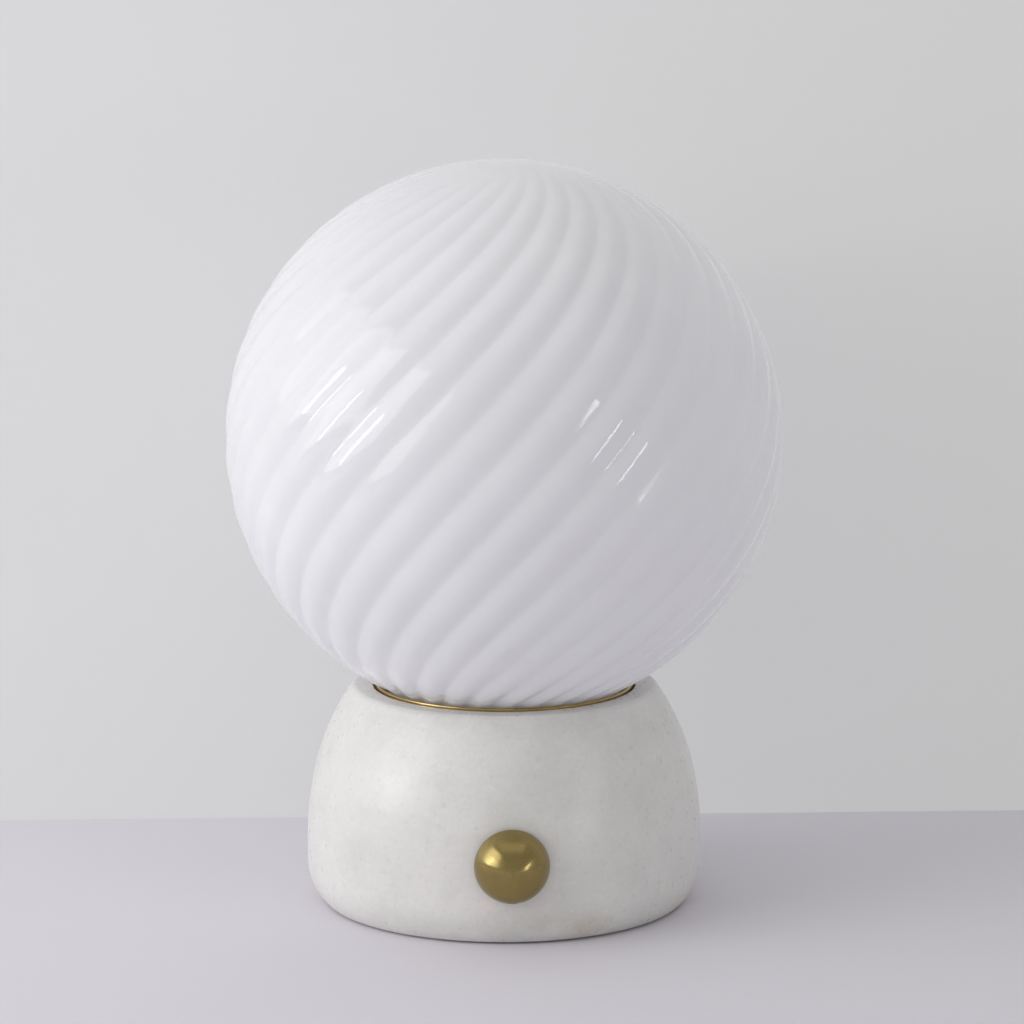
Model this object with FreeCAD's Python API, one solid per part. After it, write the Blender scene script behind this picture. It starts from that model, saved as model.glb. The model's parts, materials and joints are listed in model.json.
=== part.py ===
"""Glass globe table lamp: an opal glass globe on a turned marble base.

Sizes are millimetres and +Z is up. The origin is the middle of the base, on the
surface that the lamp stands on. The dimmer knob faces -Y, the cable entry +Y.
"""
import FreeCAD
import Part
import math
import os

Vec = FreeCAD.Vector
X_AXIS, Y_AXIS, Z_AXIS = Vec(1, 0, 0), Vec(0, 1, 0), Vec(0, 0, 1)

# ---------------------------------------------------------------- clearances
plain_hole_gap = 0.25          # radial, a stem, bush or screw in a plain hole
running_gap = 0.05             # radial, the shaft in its bush
cap_gap = 0.08                 # radial, the bulb cap in its threaded shell
thread_gap = 0.05              # radial, a screwed pair with its threads left out
loose_gap = 0.3                # between neighbours that must never rub
contact_gap = 0.1              # bulb pellet above the spring contact at rest
cutter_past = 1.0              # how far a cutting shape passes a face

# ------------------------------------------------------- foot pad and plate
pad_proud = 0.8                # the pad stands this far below the marble
pad_thickness = 3.0
plate_inset = 12.8             # radial, the plate inside the marble's widest point
plate_thickness = 2.0
plate_gap = 0.4                # radial, the plate in the marble's rebate
plate_screw_count = 3
plate_screw_first = 30.0       # degrees of the first screw from +X
plate_screw_radius = 1.5
plate_screw_length = 9.0
plate_screw_head_radius = 2.8
plate_screw_head_height = 1.5
insert_radius = 2.8
insert_length = 7.0
insert_hole_length = 9.5
insert_set_in = 4.8            # radial, the insert's axis outside the cavity

# --------------------------------------------------------------- marble base
marble_height = 78.6
belly_radius = 71.8
belly_height = 21.5            # above the marble's lower face
foot_round_radius = 19.5
foot_round_height = 14.0
side_arc_radius = 121.0
side_join_height = 45.0
shoulder_arc_radius = 88.0
shoulder_edge_radius = 3.0
recess_depth = 8.6
recess_gap = 0.6               # radial, the dish in the marble
recess_edge = 0.5
crown_thickness = 18.8         # marble between the recess and the cavity
marble_wall = 21.8             # radial, beside the cavity at the widest point
cavity_edge = 3.0
front_flat_depth = 5.0         # the flat that carries the dimmer, inside the cavity's round
rear_flat_depth = 2.0          # the flat that carries the cable bush
front_web = 5.0
knob_pocket_radius = 10.0

# ------------------------------------------------------- dish, gasket, globe
dish_thickness = 1.2
rim_proud = 0.9                # the rim stands this far above the marble
rim_wall = 1.1
gasket_thickness = 1.5
gasket_width = 5.5
globe_radius = 100.0
globe_wall = 3.5
globe_neck_radius = 42.0
globe_neck_length = 5.15
rim_gap = 0.35                 # radial, globe to rim

# ------------------------------------------------------------ stem and nuts
nut_corner_share = 0.56        # radius of a nut's turned corners, of its flats
stem_radius = 5.0
stem_bore_radius = 3.5
stem_nut_flats = 14.0
stem_nut_height = 4.0
stem_washer_radius = 15.0
stem_washer_thickness = 1.5
stem_below_nut = 1.2
lock_nut_height = 3.0
earth_tag_thickness = 0.8
earth_tag_radius = 8.0
earth_tag_reach = 15.0
earth_tag_width = 5.0

# -------------------------------------------------------------- lamp holder
holder_base_radius = 13.0
holder_base_height = 17.0
holder_base_floor = 6.0
holder_wall = 1.8
holder_stem_past_floor = 1.0
sleeve_height = 30.0
sleeve_spigot = 4.0
core_radius = 10.8
core_height = 20.0
core_stem_pocket_depth = 3.0
core_wire_pocket_depth = 6.0
shell_wall = 0.7
shell_height = 18.0
centre_contact_radius = 3.2
centre_contact_thickness = 0.6
terminal_screw_radius = 1.3
terminal_screw_inner = 5.5
terminal_screw_height = 9.0    # above the core's lower face

# --------------------------------------------------------------- lamp bulb
bulb_cap_radius = 6.95
bulb_cap_wall = 0.5
bulb_cap_height = 17.8
bulb_pellet_radius = 2.2
bulb_pellet_height = 1.5
bulb_insulator_height = 3.0
bulb_insulator_tip_radius = 3.6
bulb_body_overlap = 2.5        # the body grips the top of the cap
bulb_body_collar = 0.65
bulb_body_height = 20.8
bulb_body_wall = 1.6
bulb_neck_radius = 17.0
bulb_ball_radius = 22.5
bulb_ball_wall = 1.3
led_board_thickness = 1.6
led_board_gap = 0.2
led_board_ledge = 1.2
led_count = 6
led_circle = 9.0
led_size = 2.8
led_height = 0.8

# --------------------------------------------------------- dimmer and knob
knob_height = 29.9             # of the knob's axis above the floor
knob_ball_radius = 13.35
knob_ball_set_back = 1.2       # ball centre behind the knob's back face
knob_edge = 0.4
knob_air = 0.3                 # knob's back face to the marble's widest point
knob_socket_depth = 9.5
shaft_radius = 3.0
shaft_flat = 2.5               # from the shaft's axis to its flat
shaft_end_gap = 0.3
shaft_fit = 0.02               # radial, shaft in the knob
set_screw_radius = 1.5
set_screw_length = 5.0
set_screw_depth = 4.0          # from the knob's back face
bush_radius = 5.0
bush_flange_radius = 7.0
bush_flange_thickness = 1.2
dimmer_nut_flats = 14.0
dimmer_nut_height = 2.5
dimmer_washer_radius = 8.5
dimmer_washer_thickness = 1.0
case_width = 40.0
case_height = 36.0
case_depth = 26.0
case_wall = 1.8
cover_thickness = 1.8
pot_size = 17.0
pot_depth = 6.5
pot_front_wall = 1.2
pot_cavity_radius = 7.5
wiper_radius = 6.9
wiper_thickness = 2.0
wiper_nib_radius = 0.8
wiper_nib_circle = 5.0
track_plate_thickness = 1.2
board_thickness = 1.6
board_edge_gap = 0.2
board_part_gap = 1.0           # from the board's middle to a part on it
choke_ring_radius = 5.5
choke_wire_radius = 2.4
capacitor_size = (12.0, 9.0, 6.0)
triac_size = (10.0, 4.5, 12.0)
triac_tab_thickness = 1.2
triac_tab_height = 4.0

# ---------------------------------------------- cable entry and terminals
cable_radius = 3.3
cable_bush_bore = 3.5
cable_bush_radius = 5.0
cable_height = 16.0            # of the cable entry above the floor
cable_bush_flange_radius = 7.8
cable_bush_flange_thickness = 3.6
cable_bush_seat_depth = 1.0    # spot face below the marble's widest point
cable_bush_nut_flats = 14.0
cable_bush_nut_height = 3.0
cable_bush_past_nut = 1.0
clamp_width = 30.0
clamp_length = 8.0
clamp_saddle_height = 5.0
clamp_bush_gap = 2.0           # clamp to the bush's inner end
clamp_screw_spread = 11.0
clamp_screw_radius = 1.5
clamp_screw_head_radius = 2.8
clamp_screw_head_height = 2.0
block_width = 30.0
block_length = 16.0
block_height = 12.0
block_place = 18.0             # Y of the terminal block's middle
block_pitch = 9.5
block_bore_radius = 2.2
block_bore_height = 5.0        # above the plate
block_screw_well = 1.9
block_fixing_spread = 4.75
block_fixing_radius = 1.2
block_fixing_head_radius = 2.2
block_fixing_head_height = 1.4
barrel_wall = 0.7
terminal_tip_radius = 1.2
terminal_tip_below = 1.0       # under the block's top
wire_radius = 1.1
wire_hole_radius = 1.5
wire_bend = 5.0
wire_pair_spread = 1.3
wire_cover_spread = 12.0       # X of the dimmer's two wire holes
wire_cover_drop = 10.0         # below the knob's axis
earth_wire_rise = 12.0

# -------------------------------------------------- derived reaches and levels
cavity_radius = belly_radius - marble_wall
front_flat = cavity_radius - front_flat_depth
rear_flat = cavity_radius - rear_flat_depth
plate_radius = belly_radius - plate_inset
plate_screw_circle = cavity_radius + insert_set_in

marble_bottom = pad_proud
marble_top = marble_bottom + marble_height
plate_bottom = pad_thickness
plate_top = plate_bottom + plate_thickness
recess_floor = marble_top - recess_depth
cavity_ceiling = recess_floor - crown_thickness
dish_top = recess_floor + dish_thickness
gasket_top = dish_top + gasket_thickness
rim_top = marble_top + rim_proud

globe_sphere_drop = math.sqrt(globe_radius ** 2 - globe_neck_radius ** 2)
globe_centre = gasket_top + globe_neck_length + globe_sphere_drop
rim_inner = math.sqrt(globe_radius ** 2 - (globe_centre - rim_top) ** 2) + rim_gap
rim_outer = rim_inner + rim_wall
recess_radius = rim_outer + recess_gap

stem_washer_bottom = cavity_ceiling - stem_washer_thickness
earth_tag_bottom = stem_washer_bottom - earth_tag_thickness
stem_nut_bottom = earth_tag_bottom - stem_nut_height
stem_bottom = stem_nut_bottom - stem_below_nut
holder_bottom = dish_top + lock_nut_height
holder_floor = holder_bottom + holder_base_floor
stem_top = holder_floor + holder_stem_past_floor
sleeve_bottom = holder_bottom + holder_base_height
sleeve_top = sleeve_bottom + sleeve_height
core_top = holder_floor + core_height
contact_top = core_top + centre_contact_thickness

pellet_bottom = contact_top + contact_gap
insulator_bottom = pellet_bottom + bulb_pellet_height
cap_bottom = insulator_bottom + bulb_insulator_height
cap_top = cap_bottom + bulb_cap_height
bulb_body_bottom = cap_top - bulb_body_overlap
bulb_body_top = bulb_body_bottom + bulb_body_height
bulb_ball_centre = bulb_body_top + math.sqrt(bulb_ball_radius ** 2 - bulb_neck_radius ** 2)

# distances from the lamp's axis towards the knob, along -Y
web_outer = front_flat + front_web
case_back = front_flat - case_depth
flange_front = front_flat - case_wall
pot_front = flange_front - bush_flange_thickness
pot_back = pot_front - pot_depth
track_back = pot_back - track_plate_thickness
board_back = track_back - board_thickness
washer_front = web_outer + dimmer_washer_thickness
bush_end = washer_front + dimmer_nut_height
wiper_front = pot_front - pot_front_wall - loose_gap
wiper_back = wiper_front - wiper_thickness
knob_back = belly_radius + knob_air
knob_ball_centre = knob_back - knob_ball_set_back
knob_front = knob_ball_centre + knob_ball_radius
shaft_end = knob_back + knob_socket_depth - shaft_end_gap

# distances from the lamp's axis towards the cable, along +Y
bush_seat = belly_radius - cable_bush_seat_depth
bush_inner_end = rear_flat - cable_bush_nut_height - cable_bush_past_nut
clamp_place = bush_inner_end - clamp_bush_gap - clamp_length / 2


# ------------------------------------------------------------------ helpers
def cylinder(radius, low, high, x=0.0, y=0.0):
    """Upright cylinder between two heights."""
    return Part.makeCylinder(radius, high - low, Vec(x, y, low))


def ring(outer, inner, low, high, x=0.0, y=0.0):
    """Upright tube between two heights."""
    bore = cylinder(inner, low - cutter_past, high + cutter_past, x, y)
    return cylinder(outer, low, high, x, y).cut(bore)


def block(x_size, y_size, z_size, x_mid, y_mid, z_low):
    """Box centred in X and Y that stands on z_low."""
    corner = Vec(x_mid - x_size / 2, y_mid - y_size / 2, z_low)
    return Part.makeBox(x_size, y_size, z_size, corner)


def hexagon(flats, low, high):
    """Upright hexagonal prism, by the distance across its flats."""
    corner = flats / math.sqrt(3)
    turns = [math.radians(60 * step) for step in range(7)]
    points = [Vec(corner * math.cos(a), corner * math.sin(a), low) for a in turns]
    return Part.Face(Part.makePolygon(points)).extrude(Vec(0, 0, high - low))


def nut(flats, hole_radius, low, high):
    """Hexagonal nut with its outer corners turned off."""
    body = hexagon(flats, low, high).common(cylinder(flats * nut_corner_share, low, high))
    return body.cut(cylinder(hole_radius, low - cutter_past, high + cutter_past))


def line(start, end):
    """Straight piece of an outline; points are (radius, height)."""
    return Part.LineSegment(Vec(start[0], 0, start[1]), Vec(end[0], 0, end[1])).toShape()


def arc(centre, radius, start_angle, end_angle):
    """Round piece of an outline, by its centre and its end angles in radians."""
    angles = (start_angle, (start_angle + end_angle) / 2, end_angle)
    points = [Vec(centre[0] + radius * math.cos(a), 0, centre[1] + radius * math.sin(a))
              for a in angles]
    return Part.Arc(*points).toShape()


def turned(edges):
    """Solid of revolution about Z from the edges of a closed outline."""
    face = Part.Face(Part.Wire(Part.__sortEdges__(edges)))
    solid = face.revolve(Vec(0, 0, 0), Z_AXIS, 360)
    return solid if solid.Volume > 0 else solid.reversed()


def turned_polygon(points):
    """Solid of revolution about Z from a closed outline of straight lines."""
    return turned([line(a, b) for a, b in zip(points, points[1:] + points[:1])])


def towards_knob(shape):
    """Lay a shape made along +Z along -Y, at the knob's height."""
    shape.rotate(Vec(0, 0, 0), X_AXIS, 90)
    shape.translate(Vec(0, 0, knob_height))
    return shape


def towards_cable(shape):
    """Lay a shape made along +Z along +Y, at the cable's height."""
    shape.rotate(Vec(0, 0, 0), X_AXIS, -90)
    shape.translate(Vec(0, 0, cable_height))
    return shape


def around(shape, count, first_angle):
    """Copies of a shape, evenly spaced about the lamp's axis."""
    copies = []
    for step in range(count):
        copy = shape.copy()
        copy.rotate(Vec(0, 0, 0), Z_AXIS, first_angle + 360.0 * step / count)
        copies.append(copy)
    return copies


def wire_run(points):
    """Round wire along straight runs joined by tangent arcs."""
    path = []
    start = Vec(*points[0])
    for index in range(1, len(points) - 1):
        before, corner, after = (Vec(*points[index + step]) for step in (-1, 0, 1))
        way_in = (corner - before).normalize()
        way_out = (after - corner).normalize()
        turn = way_in.getAngle(way_out)
        reach = wire_bend * math.tan(turn / 2)
        arc_start = corner - way_in * reach
        arc_end = corner + way_out * reach
        bisector = (way_out - way_in).normalize()
        centre = corner + bisector * (wire_bend / math.cos(turn / 2))
        path.append(Part.LineSegment(start, arc_start).toShape())
        path.append(Part.Arc(arc_start, centre - bisector * wire_bend, arc_end).toShape())
        start = arc_end
    path.append(Part.LineSegment(start, Vec(*points[-1])).toShape())
    first_way = Vec(*points[1]) - Vec(*points[0])
    section = Part.Wire(Part.makeCircle(wire_radius, Vec(*points[0]), first_way))
    return Part.Wire(path).makePipeShell([section], True, False)


# -------------------------------------------------------------- base pieces
def marble_outline():
    """Outer outline of the marble from the axis at the foot to the axis on top."""
    foot_centre = (belly_radius - foot_round_radius, marble_bottom + foot_round_height)
    foot_angle = -math.asin(foot_round_height / foot_round_radius)
    foot_edge = foot_centre[0] + foot_round_radius * math.cos(foot_angle)
    side_centre = (belly_radius - side_arc_radius, marble_bottom + belly_height)
    join_angle = math.asin((side_join_height - belly_height) / side_arc_radius)
    arc_step = side_arc_radius - shoulder_arc_radius
    shoulder_centre = (side_centre[0] + arc_step * math.cos(join_angle),
                       side_centre[1] + arc_step * math.sin(join_angle))
    edge_height = marble_top - shoulder_edge_radius
    edge_reach = shoulder_arc_radius - shoulder_edge_radius
    edge_angle = math.asin((edge_height - shoulder_centre[1]) / edge_reach)
    edge_centre = (shoulder_centre[0] + edge_reach * math.cos(edge_angle), edge_height)
    return [
        line((0, marble_bottom), (foot_edge, marble_bottom)),
        arc(foot_centre, foot_round_radius, foot_angle, 0),
        line((belly_radius, foot_centre[1]), (belly_radius, side_centre[1])),
        arc(side_centre, side_arc_radius, 0, join_angle),
        arc(shoulder_centre, shoulder_arc_radius, join_angle, edge_angle),
        arc(edge_centre, shoulder_edge_radius, edge_angle, math.pi / 2),
        line((edge_centre[0], marble_top), (0, marble_top)),
        line((0, marble_top), (0, marble_bottom)),
    ]


def marble_cavity():
    """Room inside the marble, with flats for the dimmer and the cable bush."""
    room = turned_polygon([
        (0, plate_top), (cavity_radius, plate_top),
        (cavity_radius, cavity_ceiling - cavity_edge),
        (cavity_radius - cavity_edge, cavity_ceiling), (0, cavity_ceiling)])
    between_flats = Part.makeBox(2 * cavity_radius, front_flat + rear_flat, marble_height,
                                 Vec(-cavity_radius, -front_flat, 0))
    return room.common(between_flats)


def marble_base():
    """Turned marble with its rebate, cavity, recess and drilled holes."""
    body = turned(marble_outline())
    recess_mouth = recess_radius + recess_edge
    recess = turned_polygon([
        (0, recess_floor), (recess_radius, recess_floor),
        (recess_radius, marble_top - recess_edge), (recess_mouth, marble_top),
        (recess_mouth, marble_top + cutter_past), (0, marble_top + cutter_past)])
    stem_hole = cylinder(stem_radius + plain_hole_gap, cavity_ceiling - cutter_past,
                         recess_floor + cutter_past)
    dimmer_hole = cylinder(bush_radius + plain_hole_gap, front_flat - cutter_past,
                           web_outer + cutter_past)
    knob_pocket = cylinder(knob_pocket_radius, web_outer, belly_radius + cutter_past)
    cable_hole = cylinder(cable_bush_radius + plain_hole_gap, rear_flat - cutter_past,
                          bush_seat + cutter_past)
    cable_seat = cylinder(cable_bush_flange_radius + loose_gap, bush_seat,
                          belly_radius + cutter_past)
    insert_hole = cylinder(insert_radius, plate_top, plate_top + insert_hole_length,
                           plate_screw_circle)
    cuts = [
        cylinder(plate_radius + plate_gap, 0, plate_top), marble_cavity(), recess, stem_hole,
        towards_knob(dimmer_hole), towards_knob(knob_pocket),
        towards_cable(cable_hole), towards_cable(cable_seat),
    ]
    cuts += around(insert_hole, plate_screw_count, plate_screw_first)
    return body.cut(Part.makeCompound(cuts))


def base_plate():
    """Steel disc that closes the base, with countersunk and tapped holes."""
    plate = cylinder(plate_radius, plate_bottom, plate_top)
    cone = Part.makeCone(plate_screw_head_radius, plate_screw_radius, plate_screw_head_height,
                         Vec(plate_screw_circle, 0, plate_bottom))
    hole = cylinder(plate_screw_radius + plain_hole_gap, plate_bottom, plate_top,
                    plate_screw_circle)
    cuts = around(cone, plate_screw_count, plate_screw_first)
    cuts += around(hole, plate_screw_count, plate_screw_first)
    for side in (-1, 1):
        cuts.append(cylinder(clamp_screw_radius + thread_gap, plate_bottom, plate_top,
                             side * clamp_screw_spread, clamp_place))
        cuts.append(cylinder(block_fixing_radius + thread_gap, plate_bottom, plate_top,
                             side * block_fixing_spread, block_place))
    return plate.cut(Part.makeCompound(cuts))


def foot_pad():
    """Soft pad under the plate; the lamp stands on it."""
    return cylinder(plate_radius, 0, pad_thickness)


def base_plate_screws():
    """Countersunk screws up into the marble's inserts."""
    head = Part.makeCone(plate_screw_head_radius - thread_gap, plate_screw_radius - thread_gap,
                         plate_screw_head_height, Vec(plate_screw_circle, 0, plate_bottom))
    stem = cylinder(plate_screw_radius - thread_gap, plate_bottom,
                    plate_bottom + plate_screw_length, plate_screw_circle)
    screw = head.fuse(stem).removeSplitter()
    return Part.makeCompound(around(screw, plate_screw_count, plate_screw_first))


def base_inserts():
    """Brass inserts bonded into the marble for the plate's screws."""
    insert = ring(insert_radius, plate_screw_radius, plate_top, plate_top + insert_length,
                  plate_screw_circle)
    return Part.makeCompound(around(insert, plate_screw_count, plate_screw_first))


# ---------------------------------------------------- dish, gasket and globe
def gallery_dish():
    """Spun brass dish in the marble's recess; its rim shows round the globe."""
    half = rim_wall / 2
    rim_middle = (rim_inner + half, rim_top - half)
    edges = [
        line((stem_radius + plain_hole_gap, recess_floor), (rim_outer, recess_floor)),
        line((rim_outer, recess_floor), (rim_outer, rim_middle[1])),
        arc(rim_middle, half, 0, math.pi),
        line((rim_inner, rim_middle[1]), (rim_inner, dish_top)),
        line((rim_inner, dish_top), (stem_radius + plain_hole_gap, dish_top)),
        line((stem_radius + plain_hole_gap, dish_top),
             (stem_radius + plain_hole_gap, recess_floor)),
    ]
    return turned(edges)


def globe_gasket():
    """Silicone ring that the globe's neck stands on."""
    middle = globe_neck_radius - globe_wall / 2
    return ring(middle + gasket_width / 2, middle - gasket_width / 2, dish_top, gasket_top)


def globe_glass():
    """Hollow glass globe with a short open neck."""
    inner_radius = globe_radius - globe_wall
    neck_inner = globe_neck_radius - globe_wall
    outer_angle = -math.acos(globe_neck_radius / globe_radius)
    inner_angle = -math.acos(neck_inner / inner_radius)
    centre = (0, globe_centre)
    outer_low = globe_centre + globe_radius * math.sin(outer_angle)
    inner_low = globe_centre + inner_radius * math.sin(inner_angle)
    return turned([
        line((neck_inner, gasket_top), (globe_neck_radius, gasket_top)),
        line((globe_neck_radius, gasket_top), (globe_neck_radius, outer_low)),
        arc(centre, globe_radius, outer_angle, math.pi / 2),
        line((0, globe_centre + globe_radius), (0, globe_centre + inner_radius)),
        arc(centre, inner_radius, inner_angle, math.pi / 2),
        line((neck_inner, inner_low), (neck_inner, gasket_top)),
    ])


# -------------------------------------------------------- stem and lamp holder
def lamp_stem():
    """Hollow threaded stem that ties the holder, dish and marble together."""
    return ring(stem_radius, stem_bore_radius, stem_bottom, stem_top)


def stem_washer():
    """Wide washer under the marble's crown."""
    return ring(stem_washer_radius, stem_radius + plain_hole_gap, stem_washer_bottom,
                cavity_ceiling)


def earth_tag():
    """Ring terminal that bonds the stem to earth."""
    eye = cylinder(earth_tag_radius, earth_tag_bottom, stem_washer_bottom)
    tail = block(earth_tag_reach, earth_tag_width, earth_tag_thickness,
                 earth_tag_reach / 2, 0, earth_tag_bottom)
    hole = cylinder(stem_radius + plain_hole_gap, earth_tag_bottom, stem_washer_bottom)
    return eye.fuse(tail).removeSplitter().cut(hole)


def stem_nut():
    """Nut that pulls the stem down from inside the base."""
    return nut(stem_nut_flats, stem_radius + thread_gap, stem_nut_bottom, earth_tag_bottom)


def stem_lock_nut():
    """Thin nut that clamps the dish under the holder."""
    return nut(stem_nut_flats, stem_radius + thread_gap, dish_top, holder_bottom)


def holder_base():
    """Cup of the lamp holder, screwed on the stem."""
    cup = cylinder(holder_base_radius, holder_bottom, sleeve_bottom)
    room = cylinder(holder_base_radius - holder_wall, holder_floor, sleeve_bottom)
    hole = cylinder(stem_radius + thread_gap, holder_bottom, holder_floor)
    return cup.cut(Part.makeCompound([room, hole]))


def holder_sleeve():
    """Outer sleeve of the lamp holder, with a spigot inside the cup."""
    spigot_radius = holder_base_radius - holder_wall - thread_gap
    spigot_bottom = sleeve_bottom - sleeve_spigot
    lip = holder_wall / 2
    edges = [
        line((core_radius + thread_gap, spigot_bottom), (spigot_radius, spigot_bottom)),
        line((spigot_radius, spigot_bottom), (spigot_radius, sleeve_bottom)),
        line((spigot_radius, sleeve_bottom), (holder_base_radius, sleeve_bottom)),
        line((holder_base_radius, sleeve_bottom), (holder_base_radius, sleeve_top - lip)),
        arc((holder_base_radius - lip, sleeve_top - lip), lip, 0, math.pi / 2),
        line((holder_base_radius - lip, sleeve_top), (core_radius + thread_gap, sleeve_top)),
        line((core_radius + thread_gap, sleeve_top), (core_radius + thread_gap, spigot_bottom)),
    ]
    return turned(edges)


def terminal_screw_pair(radius, length):
    """Two radial cylinders in the core's side, one each way along X."""
    height = holder_floor + terminal_screw_height
    return [Part.makeCylinder(radius, length, Vec(side * terminal_screw_inner, 0, height),
                              Vec(side, 0, 0)) for side in (-1, 1)]


def holder_core():
    """Ceramic core that carries the contacts."""
    core = cylinder(core_radius, holder_floor, core_top)
    stem_pocket = cylinder(stem_radius + loose_gap, holder_floor,
                           holder_floor + core_stem_pocket_depth)
    wire_pocket = cylinder(stem_bore_radius, holder_floor,
                           holder_floor + core_wire_pocket_depth)
    cuts = [stem_pocket, wire_pocket]
    cuts += terminal_screw_pair(terminal_screw_radius + thread_gap, core_radius)
    return core.cut(Part.makeCompound(cuts))


def holder_terminal_screws():
    """Brass screws that hold the two wires in the core."""
    length = core_radius - terminal_screw_inner - loose_gap
    return Part.makeCompound(terminal_screw_pair(terminal_screw_radius, length))


def holder_shell():
    """Brass shell that the bulb's cap screws into."""
    inner = bulb_cap_radius + cap_gap
    return ring(inner + shell_wall, inner, core_top, core_top + shell_height)


def holder_centre_contact():
    """Spring contact under the bulb's pellet."""
    return cylinder(centre_contact_radius, core_top, contact_top)


# --------------------------------------------------------------------- bulb
def bulb_pellet():
    """Contact at the foot of the bulb."""
    return cylinder(bulb_pellet_radius, pellet_bottom, insulator_bottom)


def bulb_insulator():
    """Cone of black glass between the pellet and the cap."""
    return Part.makeCone(bulb_insulator_tip_radius, bulb_cap_radius - bulb_cap_wall,
                         bulb_insulator_height, Vec(0, 0, insulator_bottom))


def bulb_cap():
    """Plated metal cap."""
    return ring(bulb_cap_radius, bulb_cap_radius - bulb_cap_wall, cap_bottom, cap_top)


def bulb_body():
    """Flared housing between the cap and the ball."""
    grip = bulb_cap_radius + thread_gap
    outer = bulb_cap_radius + bulb_body_collar
    board_seat = bulb_body_top - led_board_thickness
    board_hole = bulb_neck_radius - bulb_body_wall
    inner_top = board_hole - led_board_ledge
    return turned_polygon([
        (grip, bulb_body_bottom), (outer, bulb_body_bottom),
        (bulb_neck_radius, bulb_body_top - 2 * led_board_thickness),
        (bulb_neck_radius, bulb_body_top), (board_hole, bulb_body_top),
        (board_hole, board_seat), (inner_top, board_seat),
        (grip - bulb_body_wall, cap_top), (grip, cap_top)])


def bulb_led_board():
    """Round board on the seat inside the housing."""
    radius = bulb_neck_radius - bulb_body_wall - led_board_gap
    return cylinder(radius, bulb_body_top - led_board_thickness, bulb_body_top)


def bulb_leds():
    """Light-emitting chips on the board."""
    chip = block(led_size, led_size, led_height, led_circle, 0, bulb_body_top)
    return Part.makeCompound(around(chip, led_count, 0))


def bulb_ball():
    """Frosted ball that stands on the housing's rim."""
    centre = (0, bulb_ball_centre)
    inner_radius = bulb_ball_radius - bulb_ball_wall
    drop = bulb_ball_centre - bulb_body_top
    outer_angle = -math.asin(drop / bulb_ball_radius)
    inner_angle = -math.asin(drop / inner_radius)
    return turned([
        line((inner_radius * math.cos(inner_angle), bulb_body_top),
             (bulb_ball_radius * math.cos(outer_angle), bulb_body_top)),
        arc(centre, bulb_ball_radius, outer_angle, math.pi / 2),
        line((0, bulb_ball_centre + bulb_ball_radius), (0, bulb_ball_centre + inner_radius)),
        arc(centre, inner_radius, inner_angle, math.pi / 2),
    ])


# ---------------------------------------------------------- dimmer and knob
def dimmer_case():
    """Box behind the marble's front flat, open at its back."""
    shell = block(case_width, case_height, case_depth, 0, 0, case_back)
    room = block(case_width - 2 * case_wall, case_height - 2 * case_wall,
                 case_depth - case_wall, 0, 0, case_back)
    hole = cylinder(bush_radius + plain_hole_gap, flange_front - cutter_past,
                    front_flat + cutter_past)
    return towards_knob(shell.cut(Part.makeCompound([room, hole])))


def dimmer_cover():
    """Lid of the box, with two holes for wires."""
    lid = block(case_width, case_height, cover_thickness, 0, 0, case_back - cover_thickness)
    holes = [cylinder(wire_hole_radius, case_back - cover_thickness, case_back,
                      side * wire_cover_spread, -wire_cover_drop) for side in (-1, 1)]
    return towards_knob(lid.cut(Part.makeCompound(holes)))


def dimmer_bush():
    """Threaded bush that carries the shaft through the marble."""
    bush = cylinder(bush_radius, pot_front, bush_end)
    flange = cylinder(bush_flange_radius, pot_front, flange_front)
    hole = cylinder(shaft_radius + running_gap, pot_front, bush_end)
    return towards_knob(bush.fuse(flange).removeSplitter().cut(hole))


def dimmer_washer():
    """Washer in the marble's pocket behind the knob."""
    return towards_knob(ring(dimmer_washer_radius, bush_radius + plain_hole_gap, web_outer,
                             washer_front))


def dimmer_nut():
    """Nut that clamps the dimmer to the marble."""
    return towards_knob(nut(dimmer_nut_flats, bush_radius + thread_gap, washer_front, bush_end))


def dimmer_potentiometer():
    """Housing of the rotary control, open towards its track plate."""
    body = block(pot_size, pot_size, pot_depth, 0, 0, pot_back)
    room = cylinder(pot_cavity_radius, pot_back, pot_front - pot_front_wall)
    hole = cylinder(shaft_radius + loose_gap, pot_back, pot_front)
    return towards_knob(body.cut(Part.makeCompound([room, hole])))


def dimmer_track_plate():
    """Plate with the resistance track."""
    return towards_knob(block(pot_size, pot_size, track_plate_thickness, 0, 0, track_back))


def dimmer_wiper():
    """Disc with two nibs that turns with the shaft."""
    disc = cylinder(wiper_radius, wiper_back, wiper_front)
    nibs = [cylinder(wiper_nib_radius, pot_back + loose_gap, wiper_back,
                     side * wiper_nib_circle) for side in (-1, 1)]
    bore = cylinder(shaft_radius + shaft_fit, wiper_back, wiper_front)
    return towards_knob(disc.fuse(nibs).removeSplitter().cut(bore))


def dimmer_shaft():
    """Steel shaft with a flat below it for the knob's screw."""
    shaft = cylinder(shaft_radius, wiper_back, shaft_end)
    flat = block(2 * shaft_radius, shaft_radius, shaft_end, 0,
                 -shaft_flat - shaft_radius / 2, knob_back)
    return towards_knob(shaft.cut(flat))


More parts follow.
